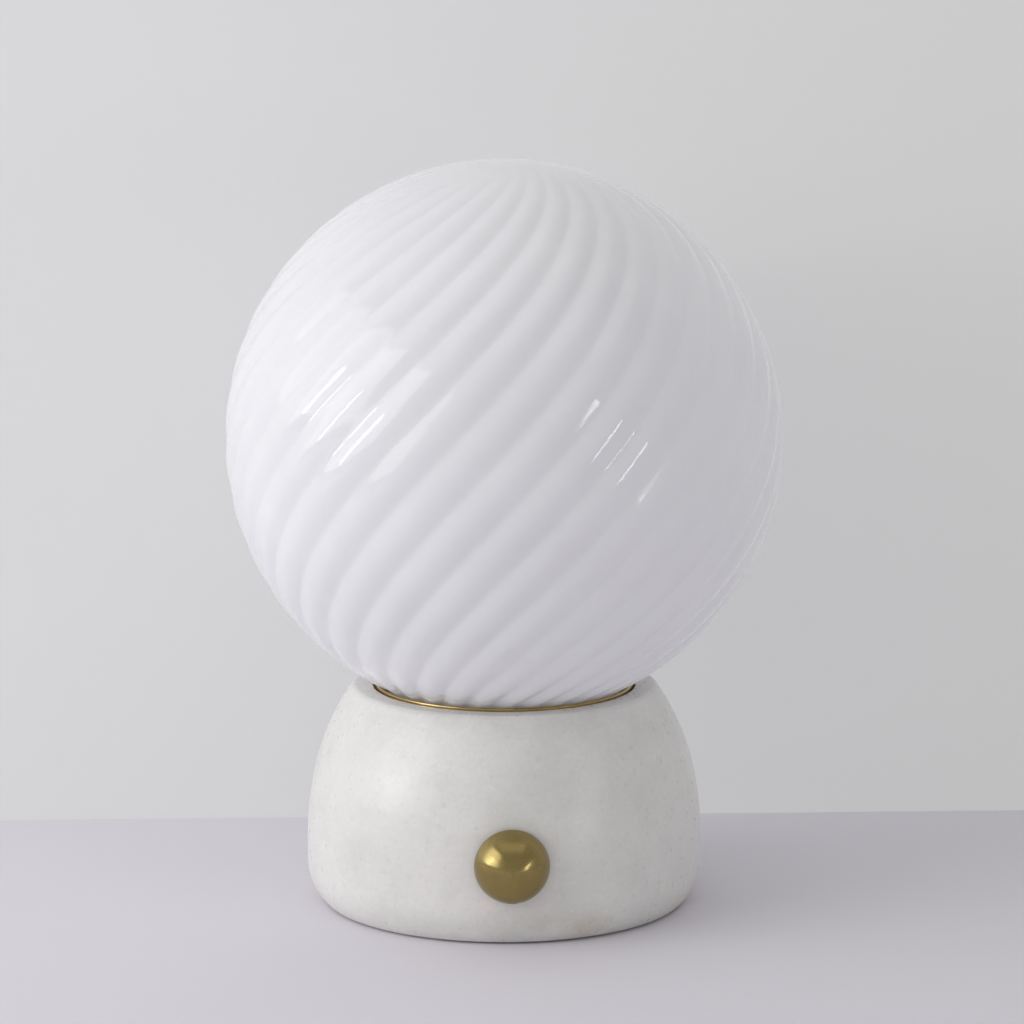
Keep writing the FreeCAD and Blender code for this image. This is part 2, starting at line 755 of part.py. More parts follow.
def knob():
    """Turned brass half-ball with a socket for the shaft."""
    centre = (0, knob_ball_centre)
    rim_angle = math.asin((knob_ball_set_back + knob_edge) / knob_ball_radius)
    rim = knob_ball_radius * math.cos(rim_angle)
    ball = turned([
        line((0, knob_back), (rim - knob_edge, knob_back)),
        line((rim - knob_edge, knob_back), (rim, knob_back + knob_edge)),
        arc(centre, knob_ball_radius, rim_angle, math.pi / 2),
        line((0, knob_front), (0, knob_back)),
    ])
    socket = cylinder(shaft_radius + shaft_fit, knob_back, knob_back + knob_socket_depth)
    flat = block(2 * shaft_radius, shaft_radius, knob_socket_depth, 0,
                 -shaft_flat - shaft_fit - shaft_radius / 2, knob_back)
    screw_hole = Part.makeCylinder(set_screw_radius + thread_gap, knob_ball_radius,
                                   Vec(0, -shaft_flat, knob_back + set_screw_depth), -Y_AXIS)
    return towards_knob(ball.cut(Part.makeCompound([socket.cut(flat), screw_hole])))


def knob_set_screw():
    """Grub screw from below, against the shaft's flat."""
    screw = Part.makeCylinder(set_screw_radius, set_screw_length,
                              Vec(0, -shaft_flat, knob_back + set_screw_depth), -Y_AXIS)
    return towards_knob(screw)


def dimmer_board():
    """Circuit board behind the track plate."""
    width = case_width - 2 * case_wall - 2 * board_edge_gap
    height = case_height - 2 * case_wall - 2 * board_edge_gap
    return towards_knob(block(width, height, board_thickness, 0, 0, board_back))


def dimmer_choke():
    """Ring choke that lies on the board."""
    place = Vec(-choke_ring_radius - choke_wire_radius - board_part_gap,
                choke_ring_radius + board_part_gap, board_back - choke_wire_radius)
    return towards_knob(Part.makeTorus(choke_ring_radius, choke_wire_radius, place, Z_AXIS))


def dimmer_capacitor():
    """Film capacitor on the board."""
    long_side, height, depth = capacitor_size
    return towards_knob(block(long_side, height, depth, -long_side / 2 - board_part_gap,
                              -height, board_back - depth))


def dimmer_triac():
    """Power switch with its metal tab."""
    width, thickness, height = triac_size
    middle = width / 2 + 2 * board_part_gap
    body = block(width, height, thickness, middle, 0, board_back - thickness)
    tab = block(width, triac_tab_height, triac_tab_thickness, middle,
                height / 2 + triac_tab_height / 2, board_back - triac_tab_thickness)
    return towards_knob(body.fuse(tab).removeSplitter())


# ------------------------------------------------- cable entry and terminals
def cable_bush():
    """Bush through the rear of the marble, with a rounded flange outside."""
    flange_end = bush_seat + cable_bush_flange_thickness
    soft_edge = cable_bush_flange_thickness / 2
    return towards_cable(turned([
        line((cable_bush_bore, bush_inner_end), (cable_bush_radius, bush_inner_end)),
        line((cable_bush_radius, bush_inner_end), (cable_bush_radius, bush_seat)),
        line((cable_bush_radius, bush_seat), (cable_bush_flange_radius, bush_seat)),
        line((cable_bush_flange_radius, bush_seat),
             (cable_bush_flange_radius, flange_end - soft_edge)),
        arc((cable_bush_flange_radius - soft_edge, flange_end - soft_edge), soft_edge,
            0, math.pi / 2),
        line((cable_bush_flange_radius - soft_edge, flange_end), (cable_bush_bore, flange_end)),
        line((cable_bush_bore, flange_end), (cable_bush_bore, bush_inner_end)),
    ]))


def cable_bush_nut():
    """Nut on the bush inside the base."""
    return towards_cable(nut(cable_bush_nut_flats, cable_bush_radius + thread_gap,
                             rear_flat - cable_bush_nut_height, rear_flat))


def cable_groove():
    """Room for the cable through the clamp."""
    return Part.makeCylinder(cable_radius - thread_gap, 2 * clamp_length,
                             Vec(0, clamp_place - clamp_length, cable_height), Y_AXIS)


def clamp_screw_holes():
    """Holes through the clamp's two halves."""
    return [cylinder(clamp_screw_radius + plain_hole_gap, plate_top,
                     cable_height + clamp_saddle_height, side * clamp_screw_spread, clamp_place)
            for side in (-1, 1)]


def cable_clamp_base():
    """Lower half of the clamp, on the plate."""
    body = block(clamp_width, clamp_length, cable_height - plate_top, 0, clamp_place, plate_top)
    return body.cut(Part.makeCompound([cable_groove()] + clamp_screw_holes()))


def cable_clamp_saddle():
    """Upper half of the clamp."""
    body = block(clamp_width, clamp_length, clamp_saddle_height, 0, clamp_place, cable_height)
    return body.cut(Part.makeCompound([cable_groove()] + clamp_screw_holes()))


def cable_clamp_screws():
    """Screws through the clamp into the plate."""
    top = cable_height + clamp_saddle_height
    screws = []
    for side in (-1, 1):
        x = side * clamp_screw_spread
        stem = cylinder(clamp_screw_radius, plate_bottom, top, x, clamp_place)
        head = cylinder(clamp_screw_head_radius, top, top + clamp_screw_head_height, x, clamp_place)
        screws.append(stem.fuse(head).removeSplitter())
    return Part.makeCompound(screws)


def block_poles():
    """X places of the terminal block's three poles."""
    return [step * block_pitch for step in (-1, 0, 1)]


def block_bore(radius, x, length):
    """Bore of one pole, along Y."""
    return Part.makeCylinder(radius, length, Vec(x, block_place - length / 2,
                                                 plate_top + block_bore_height), Y_AXIS)


def terminal_block():
    """Three-pole block on the plate."""
    body = block(block_width, block_length, block_height, 0, block_place, plate_top)
    top = plate_top + block_height
    cuts = [block_bore(block_bore_radius, x, block_length) for x in block_poles()]
    cuts += [cylinder(block_screw_well, plate_top + block_bore_height, top, x, block_place)
             for x in block_poles()]
    cuts += [cylinder(block_fixing_radius + thread_gap, plate_top, top, side * block_fixing_spread,
                      block_place) for side in (-1, 1)]
    return body.cut(Part.makeCompound(cuts))


def terminal_barrels():
    """Brass barrels in the block's bores."""
    barrels = []
    barrel_radius = block_bore_radius - thread_gap
    for x in block_poles():
        outer = block_bore(barrel_radius, x, block_length - 2 * barrel_wall)
        inner = block_bore(barrel_radius - barrel_wall, x, block_length)
        tap = cylinder(terminal_tip_radius + thread_gap, plate_top + block_bore_height,
                       plate_top + block_height, x, block_place)
        barrels.append(outer.cut(Part.makeCompound([inner, tap])))
    return Part.makeCompound(barrels)


def terminal_tips():
    """Clamping screws of the terminal block."""
    low = plate_top + block_bore_height + block_bore_radius - barrel_wall
    high = plate_top + block_height - terminal_tip_below
    return Part.makeCompound([cylinder(terminal_tip_radius, low, high, x, block_place)
                              for x in block_poles()])


def terminal_block_screws():
    """Two screws that hold the block on the plate."""
    top = plate_top + block_height
    screws = []
    for side in (-1, 1):
        x = side * block_fixing_spread
        stem = cylinder(block_fixing_radius, plate_bottom, top, x, block_place)
        head = cylinder(block_fixing_head_radius, top, top + block_fixing_head_height, x, block_place)
        screws.append(stem.fuse(head).removeSplitter())
    return Part.makeCompound(screws)


# ------------------------------------------------------------ inner wiring
def block_mouth(pole):
    """Point where a wire meets a pole's barrel, on the side of the knob."""
    return (pole * block_pitch, block_place - block_length / 2 + barrel_wall,
            plate_top + block_bore_height)


def holder_mouth(side):
    """Top end of a wire inside the holder's core."""
    return (side * wire_pair_spread, 0, holder_floor + core_wire_pocket_depth)


def cover_mouth(side):
    """Point just inside the dimmer's cover."""
    return (side * wire_cover_spread, -case_back, knob_height - wire_cover_drop)


def wire_live_feed():
    """Live wire from the terminal block to the dimmer."""
    start = block_mouth(-1)
    end = cover_mouth(-1)
    middle = (start[1] - case_back) / 2 - wire_bend
    return wire_run([start, (start[0], middle + 2 * wire_bend, start[2]),
                     (end[0], middle - wire_bend, end[2]), end])


def wire_live_lamp():
    """Switched live wire from the dimmer up the stem to the holder."""
    start = cover_mouth(1)
    end = holder_mouth(1)
    return wire_run([start, (start[0], -wire_bend, start[2]),
                     (end[0], 0, start[2] + 2 * wire_bend), end])


def wire_neutral():
    """Neutral wire from the terminal block up the stem to the holder."""
    start = block_mouth(0)
    end = holder_mouth(-1)
    return wire_run([start, (start[0], wire_bend, start[2]),
                     (end[0], 0, start[2] + 3 * wire_bend), end])


def wire_earth():
    """Earth wire from the terminal block to the stem's tag."""
    start = block_mouth(1)
    x = earth_tag_reach - earth_tag_width / 2
    return wire_run([start, (start[0], 0, start[2]), (x, 0, start[2] + earth_wire_rise),
                     (x, 0, earth_tag_bottom)])


BUILDERS = [
    marble_base, base_plate, foot_pad, base_plate_screws, base_inserts,
    gallery_dish, globe_gasket, globe_glass,
    lamp_stem, stem_washer, earth_tag, stem_nut, stem_lock_nut,
    holder_base, holder_sleeve, holder_core, holder_terminal_screws, holder_shell,
    holder_centre_contact,
    bulb_pellet, bulb_insulator, bulb_cap, bulb_body, bulb_led_board, bulb_leds, bulb_ball,
    dimmer_case, dimmer_cover, dimmer_bush, dimmer_washer, dimmer_nut, dimmer_potentiometer,
    dimmer_track_plate, dimmer_wiper, dimmer_shaft, knob, knob_set_screw,
    dimmer_board, dimmer_choke, dimmer_capacitor, dimmer_triac,
    cable_bush, cable_bush_nut, cable_clamp_base, cable_clamp_saddle, cable_clamp_screws,
    terminal_block, terminal_barrels, terminal_tips, terminal_block_screws,
    wire_live_feed, wire_live_lamp, wire_neutral, wire_earth,
]


def main():
    """Write one STEP file for each sub-part."""
    os.makedirs("parts", exist_ok=True)
    for build in BUILDERS:
        shape = build()
        if not shape.isValid() or shape.Volume <= 0:
            raise ValueError(build.__name__ + " is not a valid solid")
        shape.exportStep(os.path.join("parts", build.__name__ + ".step"))
        print(f"{build.__name__:24s} {len(shape.Solids):2d} solids {shape.Volume:12.1f} mm3")


main()
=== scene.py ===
"""Looks of the glass globe table lamp: finishes, ribbed globe, light and camera."""
import json
import math
import bpy
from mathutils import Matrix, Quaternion, Vector


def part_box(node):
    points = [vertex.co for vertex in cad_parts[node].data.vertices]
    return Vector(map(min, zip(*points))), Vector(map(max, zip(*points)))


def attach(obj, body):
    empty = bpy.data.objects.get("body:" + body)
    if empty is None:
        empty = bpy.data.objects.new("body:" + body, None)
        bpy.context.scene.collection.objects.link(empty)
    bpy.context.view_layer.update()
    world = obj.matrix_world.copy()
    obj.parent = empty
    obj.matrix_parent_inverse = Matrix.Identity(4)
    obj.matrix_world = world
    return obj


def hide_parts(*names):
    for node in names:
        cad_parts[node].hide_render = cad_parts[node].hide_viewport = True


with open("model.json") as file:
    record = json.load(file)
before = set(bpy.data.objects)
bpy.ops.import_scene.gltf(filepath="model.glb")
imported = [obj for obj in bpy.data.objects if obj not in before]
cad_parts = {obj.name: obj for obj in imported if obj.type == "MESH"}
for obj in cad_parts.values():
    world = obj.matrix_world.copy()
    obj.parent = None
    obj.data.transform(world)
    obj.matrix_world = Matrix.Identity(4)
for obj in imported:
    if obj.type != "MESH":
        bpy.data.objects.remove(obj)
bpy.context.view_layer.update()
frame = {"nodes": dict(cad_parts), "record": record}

NODES = frame["nodes"]
MM = 0.001

# ---------------------------------------------------------------- camera
# Fitted to the outlines of the globe, the ring and the base.
IMAGE_SIZE = 1024                     # pixels, both ways
FOCAL_PIXELS = 4007.0
SENSOR_WIDTH = 36.0                   # mm
CAMERA_DISTANCE = 1.4227              # from the lamp's axis, level
CAMERA_HEIGHT = 0.3957
CAMERA_SIDE = math.radians(2.15)      # round the lamp towards -X
CAMERA_PITCH = math.radians(10.10)    # downwards
AXIS_PIXEL = 504.0                    # column of the lamp's axis


def add_camera():
    """Camera at the photograph's place and angle."""
    data = bpy.data.cameras.new("camera")
    data.sensor_width = SENSOR_WIDTH
    data.lens = FOCAL_PIXELS * SENSOR_WIDTH / IMAGE_SIZE
    camera = bpy.data.objects.new("camera", data)
    bpy.context.scene.collection.objects.link(camera)
    camera.location = (-CAMERA_DISTANCE * math.sin(CAMERA_SIDE),
                       -CAMERA_DISTANCE * math.cos(CAMERA_SIDE), CAMERA_HEIGHT)
    off_axis = math.atan((IMAGE_SIZE / 2 - AXIS_PIXEL) / FOCAL_PIXELS)
    camera.rotation_euler = (math.pi / 2 - CAMERA_PITCH, 0, -(CAMERA_SIDE + off_axis))
    bpy.context.scene.camera = camera


# ------------------------------------------------------- shader node helper
class Finish:
    """A material under construction; each call adds a node and returns its output."""

    def __init__(self, name, colour, roughness, metallic=0.0):
        self.material = bpy.data.materials.new(name)
        self.material.use_nodes = True
        self.tree = self.material.node_tree
        self.shader = self.tree.nodes["Principled BSDF"]
        self.set("Base Color", colour)
        self.set("Roughness", roughness)
        self.set("Metallic", metallic)
        self.coordinates = self.node("ShaderNodeTexCoord").outputs["Object"]

    def node(self, kind, **settings):
        made = self.tree.nodes.new(kind)
        for key, value in settings.items():
            setattr(made, key, value)
        return made

    def feed(self, socket, value):
        """Link an output to a socket, or write a constant on it."""
        if isinstance(value, bpy.types.NodeSocket):
            self.tree.links.new(value, socket)
        elif isinstance(value, tuple) and socket.type == "RGBA":
            socket.default_value = (*value[:3], 1.0)
        else:
            socket.default_value = value

    def set(self, name, value):
        """Set one of the surface shader's sockets."""
        self.feed(self.shader.inputs[name], value)

    def place(self, location=(0, 0, 0), rotation=(0, 0, 0), source=None):
        """Object coordinates, or a source, turned and then moved."""
        made = self.node("ShaderNodeMapping")
        self.feed(made.inputs["Vector"], source or self.coordinates)
        made.inputs["Location"].default_value = location
        made.inputs["Rotation"].default_value = rotation
        return made.outputs["Vector"]

    def noise(self, scale, detail=3.0, roughness=0.5, vector=None):
        made = self.node("ShaderNodeTexNoise")
        self.feed(made.inputs["Vector"], vector or self.coordinates)
        made.inputs["Scale"].default_value = scale
        made.inputs["Detail"].default_value = detail
        made.inputs["Roughness"].default_value = roughness
        return made.outputs["Fac"]

    def cells(self, scale, output="Color"):
        made = self.node("ShaderNodeTexVoronoi")
        self.feed(made.inputs["Vector"], self.coordinates)
        made.inputs["Scale"].default_value = scale
        return made.outputs[output]

    def maths(self, operation, first, second=0.0):
        made = self.node("ShaderNodeMath", operation=operation)
        for socket, value in zip(made.inputs, (first, second)):
            self.feed(socket, value)
        return made.outputs[0]

    def reach(self, x, y):
        """Distance from the axis where x and y are zero."""
        return self.maths("SQRT", self.maths("ADD", self.maths("MULTIPLY", x, x),
                                             self.maths("MULTIPLY", y, y)))

    def vector(self, **parts):
        """Vector from its X, Y and Z; a part left out is zero."""
        made = self.node("ShaderNodeCombineXYZ")
        for name, value in parts.items():
            self.feed(made.inputs[name], value)
        return made.outputs[0]

    def span(self, value, low, high, to_low=0.0, to_high=1.0):
        """Map a range of a value to another, smoothly and clamped."""
        made = self.node("ShaderNodeMapRange", interpolation_type="SMOOTHSTEP")
        for name, entry in (("Value", value), ("From Min", low), ("From Max", high),
                            ("To Min", to_low), ("To Max", to_high)):
            self.feed(made.inputs[name], entry)
        return made.outputs["Result"]

    def mix(self, factor, first, second):
        """Blend of two colours."""
        made = self.node("ShaderNodeMix", data_type="RGBA")
        self.feed(made.inputs["Factor"], factor)
        self.feed(made.inputs[6], first)
        self.feed(made.inputs[7], second)
        return made.outputs[2]

    def axis(self, index, vector=None):
        """One coordinate of a vector."""
        made = self.node("ShaderNodeSeparateXYZ")
        self.feed(made.inputs[0], vector or self.coordinates)
        return made.outputs[index]

    def bump(self, height, distance, strength=1.0):
        """Raise the surface by a height pattern; distance is in metres."""
        made = self.node("ShaderNodeBump")
        self.feed(made.inputs["Height"], height)
        made.inputs["Distance"].default_value = distance
        made.inputs["Strength"].default_value = strength
        self.set("Normal", made.outputs["Normal"])


# ---------------------------------------------------------------- finishes
KNOB_CENTRE = (0.0, -0.0709, 0.0299)  # middle of the knob's ball
KNOB_TURN = (math.pi / 2, 0, 0)       # from the knob's axis to Z
GLOBE_RADIUS = 100.0 * MM
GLOBE_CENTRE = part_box("globe_glass")[1][2] - GLOBE_RADIUS
RIB_TWIST = -0.925                    # turn of a rib about Z for each turn down the globe
OPAL_PAINTED_GLOW = (0.080, 0.080, 0.085)     # painted glow: emitted light standing in for room light that has come through the globe
OPAL_LINE_STRETCH = 0.1               # of the glass's drawn lines, along the ribs
WEAR_SCALE = 420.0                    # of the wear on plain metal
GRAIN_DEPTH = 0.03 * MM               # of moulded plastic
WINDING_SCALE = 420.0


def marble_finish():
    """White crystalline marble with a satin polish."""
    white, cloud, cool = (0.82, 0.81, 0.785), (0.63, 0.62, 0.59), (0.71, 0.705, 0.685)
    stain, speck, bright = (0.58, 0.51, 0.38), (0.26, 0.22, 0.18), (0.95, 0.95, 0.94)
    m = Finish("marble", white, 0.3)
    clouds = m.span(m.noise(48, 8, 0.68), 0.40, 0.68)
    drifts = m.span(m.noise(13, 4, 0.55), 0.40, 0.66)
    crystals = m.axis(0, m.cells(900))
    fine = m.noise(640, 4, 0.7)
    colour = m.mix(m.maths("MULTIPLY", clouds, 0.42), white, cloud)
    colour = m.mix(m.maths("MULTIPLY", drifts, 0.40), colour, cool)
    colour = m.mix(m.span(fine, 0.38, 0.68, 0.0, 0.20), colour, cloud)
    colour = m.mix(m.span(crystals, 0.80, 0.98, 0.0, 0.14), colour, bright)
    low = m.span(m.axis(2), 0.002, 0.016, 1.0, 0.0)
    stains = m.maths("MULTIPLY", low, m.span(m.noise(40, 5, 0.6), 0.50, 0.72))
    colour = m.mix(m.maths("MULTIPLY", stains, 0.55), colour, stain)
    near = m.cells(95, "Distance")
    rare = m.span(m.axis(1, m.cells(95)), 0.90, 0.92)
    specks = m.maths("MULTIPLY", m.span(near, 0.04, 0.08, 1.0, 0.0), rare)
    colour = m.mix(m.maths("MULTIPLY", specks, 0.7), colour, speck)
    m.set("Base Color", colour)
    glint = m.span(m.axis(2, m.cells(700)), 0.95, 0.99, 0.0, 0.10)
    m.set("Roughness", m.maths("SUBTRACT", m.span(fine, 0.3, 0.7, 0.28, 0.34), glint))
    m.set("Subsurface Weight", 0.15)
    m.set("Subsurface Radius", (1.0, 0.95, 0.85))
    m.set("Subsurface Scale", 0.002)
    m.bump(fine, 0.00001, 0.15)
    return m.material


def opal_finish():
    """Glossy opal white glass, drawn into faint lines along its ribs, with a painted glow."""
    m = Finish("opal_glass", (0.86, 0.86, 0.885), 0.07)
    haze = m.span(m.noise(22, 3, 0.5), 0.35, 0.7)
    m.set("Base Color", m.mix(haze, (0.76, 0.76, 0.785), (0.735, 0.735, 0.76)))
    # painted glow: the glass emits a faint light of its own, standing in for room light through
    # it
    m.set("Emission Color", OPAL_PAINTED_GLOW)
    m.set("Emission Strength", 1.0)
    m.set("Roughness", m.span(m.noise(60, 3, 0.5), 0.3, 0.7, 0.03, 0.06))
    m.set("IOR", 1.5)
    m.set("Specular IOR Level", 0.4)
    m.set("Subsurface Weight", 0.25)
    m.set("Subsurface Radius", (1.0, 1.0, 1.0))
    m.set("Subsurface Scale", 0.004)
    x, y = m.axis(0), m.axis(1)
    rise = m.maths("SUBTRACT", m.axis(2), GLOBE_CENTRE)
    polar = m.maths("ARCTAN2", m.reach(x, y), rise)
    turn = m.maths("SUBTRACT", m.maths("ARCTAN2", y, x), m.maths("MULTIPLY", polar, RIB_TWIST))
    along = m.vector(X=m.maths("MULTIPLY", m.maths("COSINE", turn), GLOBE_RADIUS),
                     Y=m.maths("MULTIPLY", m.maths("SINE", turn), GLOBE_RADIUS),
                     Z=m.maths("MULTIPLY", polar, OPAL_LINE_STRETCH * GLOBE_RADIUS))
    lines = m.noise(330, 3, 0.6, along)
    m.bump(lines, 0.00010, 0.35)
    return m.material


def satin_brass_finish(name, centre, rotation, colour, brushed=0.0):
    """Turned brass with fine rings about an axis through centre.

    rotation brings that axis to Z. A brushed finish, for an axis along Y, also
    spreads its highlights across the rings.
    """
    m = Finish(name, colour, 0.27, 1.0)
    local = m.place(tuple(-v for v in centre))
    turned = m.place(rotation=rotation, source=local)
    reach = m.reach(m.axis(0, turned), m.axis(1, turned))
    rings = m.vector(X=m.maths("MULTIPLY", reach, 60.0),
                     Z=m.maths("MULTIPLY", m.axis(2, turned), 4.0))
    lines = m.noise(110, 3, 0.6, rings)
    tarnish = m.span(m.noise(120, 4, 0.55), 0.40, 0.75)
    darker = tuple(0.72 * v for v in colour)
    m.set("Base Color", m.mix(m.maths("MULTIPLY", tarnish, 0.35), colour, darker))
    m.set("Roughness", m.span(lines, 0.3, 0.7, 0.18, 0.28))
    if brushed:
        world = m.node("ShaderNodeVectorTransform", vector_type="VECTOR",
                       convert_from="OBJECT", convert_to="WORLD")
        m.feed(world.inputs[0], m.vector(X=m.axis(0, local), Z=m.axis(2, local)))
        m.set("Anisotropic", brushed)
        m.set("Tangent", world.outputs[0])
    m.bump(lines, 0.00002, 0.5)
    return m.material


def metal_finish(name, colour, roughness):
    """Plated or turned metal with fine wear."""
    m = Finish(name, colour, roughness, 1.0)
    wear = m.noise(WEAR_SCALE, 4, 0.6)
    dull = tuple(0.78 * v for v in colour)
    m.set("Base Color", m.mix(m.span(wear, 0.35, 0.75), colour, dull))
    m.set("Roughness", m.span(wear, 0.3, 0.7, roughness - 0.06, roughness + 0.08))
    m.bump(m.noise(WEAR_SCALE * 4, 2, 0.5), 0.00001, 0.4)
    return m.material


def plastic_finish(name, colour, roughness, grain=1400.0):
    """Moulded plastic, rubber or ceramic with a fine grain."""
    m = Finish(name, colour, roughness)
    shade = tuple(0.88 * v for v in colour)
    m.set("Base Color", m.mix(m.span(m.noise(70, 4, 0.55), 0.35, 0.7), colour, shade))
    m.set("Roughness", m.span(m.noise(grain / 3, 3, 0.5), 0.3, 0.7,
                              max(roughness - 0.06, 0.04), roughness + 0.08))
    m.bump(m.noise(grain, 2, 0.6), GRAIN_DEPTH, 0.6)
    return m.material


def foam_finish(name, colour, roughness):
    """Closed-cell foam with small pores, painted darker inside as shade."""
    m = Finish(name, colour, roughness)
    pores = m.cells(900, "Distance")
    # painted shade: the pores are darker at their middles
    m.set("Base Color", m.mix(m.span(pores, 0.0, 0.5), tuple(0.5 * v for v in colour), colour))
    m.bump(pores, 0.0001, 0.8)
    return m.material


def winding_finish(name, colour):
    """Enamelled wire wound on a ring, with painted shade between its turns."""
    m = Finish(name, colour, 0.3, 0.6)
    wave = m.node("ShaderNodeTexWave", wave_type="BANDS", bands_direction="DIAGONAL")
    m.feed(wave.inputs["Vector"], m.coordinates)
    wave.inputs["Scale"].default_value = WINDING_SCALE
    # painted shade: darker bands in the grooves between the turns of wire
    m.set("Base Color", m.mix(wave.outputs["Fac"], tuple(0.45 * v for v in colour), colour))
    m.bump(wave.outputs["Fac"], 0.0002, 0.8)
    return m.material


FINISHES = {
    "marble": marble_finish(),
    "opal_glass": opal_finish(),
    "satin_brass": satin_brass_finish("satin_brass", (0, 0, 0), (0, 0, 0), (0.60, 0.44, 0.185)),
    # painted shade: the knob's brass is darker than the ring's, standing in for the darker room
    # it reflects
    "knob_brass_shaded": satin_brass_finish("knob_brass_shaded", KNOB_CENTRE, KNOB_TURN,
                                     (0.34, 0.262, 0.10), 0.80),
    "brass": metal_finish("brass", (0.72, 0.56, 0.28), 0.3),
    "zinc_steel": metal_finish("zinc_steel", (0.62, 0.63, 0.64), 0.36),
    "nickel_plate": metal_finish("nickel_plate", (0.72, 0.71, 0.68), 0.22),
    "foam_pad": foam_finish("foam_pad", (0.05, 0.05, 0.055), 0.85),
    "silicone": plastic_finish("silicone", (0.80, 0.80, 0.78), 0.5),
    "black_plastic": plastic_finish("black_plastic", (0.035, 0.035, 0.038), 0.45),
    "white_plastic": plastic_finish("white_plastic", (0.82, 0.82, 0.80), 0.4),
    "frosted_plastic": plastic_finish("frosted_plastic", (0.88, 0.88, 0.86), 0.35),
    "core_ceramic": plastic_finish("core_ceramic", (0.80, 0.76, 0.69), 0.6, 2000.0),
    "black_glass": plastic_finish("black_glass", (0.02, 0.02, 0.025), 0.12),
    "board": plastic_finish("board", (0.04, 0.17, 0.07), 0.35),
    "phenolic": plastic_finish("phenolic", (0.24, 0.13, 0.06), 0.5),
    "aluminium": metal_finish("aluminium", (0.76, 0.77, 0.78), 0.33),
    "copper_winding": winding_finish("copper_winding", (0.62, 0.26, 0.10)),
    "film_yellow": plastic_finish("film_yellow", (0.70, 0.50, 0.09), 0.3),
    "led_yellow": plastic_finish("led_yellow", (0.86, 0.68, 0.14), 0.4),
    "brown_wire": plastic_finish("brown_wire", (0.16, 0.07, 0.03), 0.4),
    "blue_wire": plastic_finish("blue_wire", (0.04, 0.12, 0.42), 0.4),
    "earth_wire": plastic_finish("earth_wire", (0.30, 0.50, 0.05), 0.4),
}


def dress_nodes():
    """Give every carried-over node the finish of its slot."""
    for entry in frame["record"]["subparts"]:
        node = NODES[entry["node"]]
        finish = FINISHES["knob_brass_shaded" if entry["node"] == "knob" else entry["material_slot"]]
        node.data.materials.clear()
        node.data.materials.append(finish)


# ----------------------------------------------------------- shape helpers
def round_points(centre, radius, start, end, steps):
    """Points of a round stretch of an outline, its ends included; angles in degrees."""
    points = []
    for step in range(steps + 1):
        angle = math.radians(start + (end - start) * step / steps)
        points.append((centre[0] + radius * math.cos(angle),
                       centre[1] + radius * math.sin(angle)))
    return points


# -------------------------------------------------------------- the globe
RIB_COUNT = 31
RIB_DEPTH = 0.90 * MM
RIB_PHASE = math.radians(-2.4)        # of one valley, from +X towards +Y
RIB_STEPS = 14                        # columns of faces on one rib
RIB_SHARPNESS = 1.3                   # 1 is round lobes with sharp valleys, 2 a wave
RIB_RISE = (math.radians(8), math.radians(50))   # from the top, none to full depth
GLOBE_WALL = 3.5 * MM
GLOBE_NECK = 42.0 * MM
GLOBE_EDGE = 1.0 * MM                 # round of the neck's ground edge
OUTER_ROWS, INNER_ROWS, EDGE_ROWS = 150, 34, 5
MERGE_DISTANCE = 0.002 * MM           # closes the seam and the two poles


def globe_section():
    """Mesh line of the glass's section in the XZ plane, from pole to pole."""
    inner = GLOBE_RADIUS - GLOBE_WALL
    neck_in = GLOBE_NECK - GLOBE_WALL
    outer_end = -math.degrees(math.acos(GLOBE_NECK / GLOBE_RADIUS))
    inner_end = -math.degrees(math.acos(neck_in / inner))
    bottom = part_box("globe_glass")[0][2] + GLOBE_EDGE
    points = round_points((0, GLOBE_CENTRE), GLOBE_RADIUS, 90, outer_end, OUTER_ROWS)
    points += round_points((GLOBE_NECK - GLOBE_EDGE, bottom), GLOBE_EDGE, 0, -90, EDGE_ROWS)
    points += round_points((neck_in + GLOBE_EDGE, bottom), GLOBE_EDGE, -90, -180, EDGE_ROWS)
    points += round_points((0, GLOBE_CENTRE), inner, inner_end, 90, INNER_ROWS)
    mesh = bpy.data.meshes.new("globe_section")
    vertices = [(max(radius, 0.0), 0.0, height) for radius, height in points]
    edges = [(index, index + 1) for index in range(len(points) - 1)]
    mesh.from_pydata(vertices, edges, [])
    return mesh


class GeometryTree:
    """A Geometry Nodes tree under construction, with named inputs."""

    def __init__(self, name):
        self.tree = bpy.data.node_groups.new(name, "GeometryNodeTree")
        self.tree.is_modifier = True
        self.tree.interface.new_socket(name="Geometry", in_out="INPUT",
                                       socket_type="NodeSocketGeometry")
        self.tree.interface.new_socket(name="Geometry", in_out="OUTPUT",
                                       socket_type="NodeSocketGeometry")
        self.inputs = self.tree.nodes.new("NodeGroupInput")
        self.output = self.tree.nodes.new("NodeGroupOutput")

    def named(self, name, kind):
        """New named input; returns its output on the group's input node."""
        self.tree.interface.new_socket(name=name, in_out="INPUT", socket_type=kind)
        return self.inputs.outputs[name]

    def node(self, kind, inputs=(), **settings):
        """Add a node; inputs pairs a socket's name or index with a value or an output."""
        made = self.tree.nodes.new(kind)
        for key, value in settings.items():
            setattr(made, key, value)
        for key, value in dict(inputs).items():
            if isinstance(value, bpy.types.NodeSocket):
                self.tree.links.new(value, made.inputs[key])
            else:
                made.inputs[key].default_value = value
        return made

    def maths(self, operation, first, second=0.0):
        return self.node("ShaderNodeMath", {0: first, 1: second}, operation=operation).outputs[0]

    def apply(self, name, mesh, values):
        """Run the tree on a mesh with these input values and return the plain mesh."""
        carrier = bpy.data.objects.new(name + "_source", mesh)
        bpy.context.scene.collection.objects.link(carrier)
        modifier = carrier.modifiers.new("geometry", "NODES")
        modifier.node_group = self.tree
        for item in self.tree.interface.items_tree:
            if item.in_out == "INPUT" and item.name in values:
                modifier[item.identifier] = values[item.name]
        view = bpy.context.evaluated_depsgraph_get()
        result = bpy.data.meshes.new_from_object(carrier.evaluated_get(view))
        result.name = name
        carrier.modifiers.remove(modifier)
        bpy.data.objects.remove(carrier)
        return result


